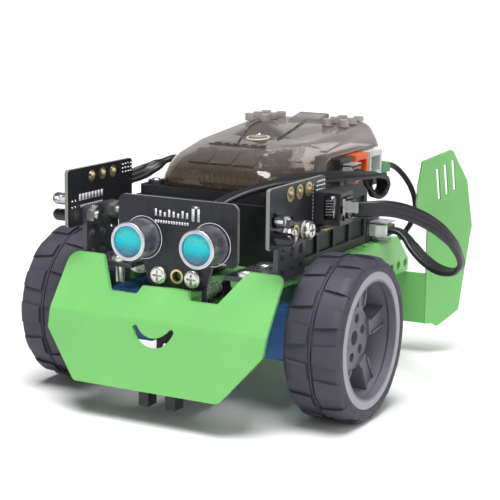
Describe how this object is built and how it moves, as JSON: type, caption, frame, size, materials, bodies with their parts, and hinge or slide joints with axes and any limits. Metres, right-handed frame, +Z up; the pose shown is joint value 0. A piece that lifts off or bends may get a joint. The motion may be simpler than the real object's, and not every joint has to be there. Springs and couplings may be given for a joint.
{
  "type": "two-wheel robot car",
  "caption": "Small educational robot car: bent sheet frame, two geared treaded wheels, rear ball caster, distance sensor, side and line sensors, clear studded hood and flat data cables.",
  "frame": {"origin": "on the ground under the middle of the robot without its cables", "axes": "-Y to the robot's front, +Z up, +X to its right when seen from the front right of the picture"},
  "size_m": [0.1691, 0.18, 0.113],
  "materials": {
    "green_paint": "powder coated, satin",
    "dark_bracket": "powder coated, satin",
    "dark_case": "moulded, lightly textured",
    "smoky_clear": "clear, smoky, polished",
    "board_black": "black solder mask",
    "socket_black": "moulded",
    "socket_orange": "moulded",
    "socket_white": "moulded",
    "chip_black": "moulded",
    "shell_steel": "plated",
    "terminal_green": "moulded",
    "button_pale": "moulded",
    "can_metal": "anodised",
    "mesh_blue": "painted mesh",
    "ring_gold": "gold plated",
    "lamp_clear": "clear lens",
    "lamp_black": "dark lens",
    "screw_steel": "nickel plated",
    "spacer_plastic": "moulded",
    "gearbox_blue": "moulded",
    "gear_white": "moulded",
    "rotor_steel": "ground",
    "tyre_rubber": "moulded tread",
    "hub_grey": "moulded",
    "ball_steel": "polished",
    "cell_wrap": "printed film",
    "cable_black": "smooth sheath",
    "plug_clear": "clear moulded"
  },
  "bodies": {
    "robot_frame": {"chassis_frame": "green_paint", "front_bumper": "green_paint", "rear_fin_plate": "green_paint", "front_bracket": "dark_bracket", "right_bracket": "dark_bracket", "left_bracket": "dark_bracket", "line_bracket": "dark_bracket", "battery_box": "dark_case", "controller_tray": "dark_case", "battery_cells": "cell_wrap", "shell_cover": "smoky_clear", "main_board": "board_black", "ultrasonic_board": "board_black", "right_side_board": "board_black", "left_side_board": "board_black", "line_board": "board_black", "orange_sockets": "socket_orange", "white_sockets": "socket_white", "black_sockets": "socket_black", "main_chips": "chip_black", "line_heads": "chip_black", "usb_socket": "shell_steel", "terminal_block": "terminal_green", "switch_case": "socket_black", "transducer_cans": "can_metal", "transducer_meshes": "mesh_blue", "plated_rings": "ring_gold", "clear_lamps": "lamp_clear", "black_lamps": "lamp_black", "machine_screws": "screw_steel", "hex_nuts": "screw_steel", "board_spacers": "spacer_plastic", "motor_cans": "shell_steel", "gear_pins": "rotor_steel", "motor_bolts": "screw_steel", "caster_housing": "dark_case", "data_plugs": "plug_clear", "cable_right": "cable_black", "cable_ultrasonic": "cable_black", "cable_rear": "cable_black", "cable_left": "cable_black", "right_gearbox_case": "gearbox_blue", "right_gearbox_cover": "gearbox_blue", "left_gearbox_case": "gearbox_blue", "left_gearbox_cover": "gearbox_blue"},
    "right_wheel": {"right_tyre": "tyre_rubber", "right_hub": "hub_grey", "right_output_gear": "gear_white"},
    "right_second_gear_turn": {"right_second_gear": "gear_white"},
    "right_crown_gear_turn": {"right_crown_gear": "gear_white"},
    "right_rotor": {"right_motor_rotor": "rotor_steel"},
    "left_wheel": {"left_tyre": "tyre_rubber", "left_hub": "hub_grey", "left_output_gear": "gear_white"},
    "left_second_gear_turn": {"left_second_gear": "gear_white"},
    "left_crown_gear_turn": {"left_crown_gear": "gear_white"},
    "left_rotor": {"left_motor_rotor": "rotor_steel"},
    "caster_ball_turn": {"caster_ball": "ball_steel"},
    "button": {"hood_button": "button_pale"},
    "switch_lever": {"switch_slider": "socket_white"}
  },
  "joints": [
    {"name": "right_wheel_spin", "type": "hinge", "parent": "robot_frame", "child": "right_wheel", "pos_m": [0.0632, -0.03705, 0.03415], "axis": [1, 0, 0], "continuous": true},
    {"name": "right_second_spin", "type": "hinge", "parent": "robot_frame", "child": "right_second_gear_turn", "pos_m": [0.03, -0.0257, 0.03415], "axis": [1, 0, 0], "continuous": true},
    {"name": "right_crown_spin", "type": "hinge", "parent": "robot_frame", "child": "right_crown_gear_turn", "pos_m": [0.03, -0.01435, 0.03415], "axis": [1, 0, 0], "continuous": true},
    {"name": "right_rotor_spin", "type": "hinge", "parent": "robot_frame", "child": "right_rotor", "pos_m": [0.031, 0.00295, 0.03415], "axis": [0, 1, 0], "continuous": true},
    {"name": "left_wheel_spin", "type": "hinge", "parent": "robot_frame", "child": "left_wheel", "pos_m": [-0.0632, -0.03705, 0.03415], "axis": [1, 0, 0], "continuous": true},
    {"name": "left_second_spin", "type": "hinge", "parent": "robot_frame", "child": "left_second_gear_turn", "pos_m": [-0.03, -0.0257, 0.03415], "axis": [1, 0, 0], "continuous": true},
    {"name": "left_crown_spin", "type": "hinge", "parent": "robot_frame", "child": "left_crown_gear_turn", "pos_m": [-0.03, -0.01435, 0.03415], "axis": [1, 0, 0], "continuous": true},
    {"name": "left_rotor_spin", "type": "hinge", "parent": "robot_frame", "child": "left_rotor", "pos_m": [-0.031, 0.00295, 0.03415], "axis": [0, 1, 0], "continuous": true},
    {"name": "caster_ball_roll", "type": "hinge", "parent": "robot_frame", "child": "caster_ball_turn", "pos_m": [0, 0.05995, 0.008], "axis": [1, 0, 0], "continuous": true},
    {"name": "hood_button_press", "type": "slide", "parent": "robot_frame", "child": "button", "axis": [0, 0, -1], "range_m": [0, 0.001], "stiffness_N_per_m": 400, "springref_m": -0.0005},
    {"name": "power_switch_slide", "type": "slide", "parent": "robot_frame", "child": "switch_lever", "axis": [1, 0, 0], "range_m": [0, 0.0024]}
  ],
  "couplings": [
    {"joint": "right_second_spin", "follows": "right_wheel_spin", "ratio": -4},
    {"joint": "right_crown_spin", "follows": "right_wheel_spin", "ratio": 16},
    {"joint": "right_rotor_spin", "follows": "right_wheel_spin", "ratio": 48},
    {"joint": "left_second_spin", "follows": "left_wheel_spin", "ratio": -4},
    {"joint": "left_crown_spin", "follows": "left_wheel_spin", "ratio": 16},
    {"joint": "left_rotor_spin", "follows": "left_wheel_spin", "ratio": -48}
  ]
}
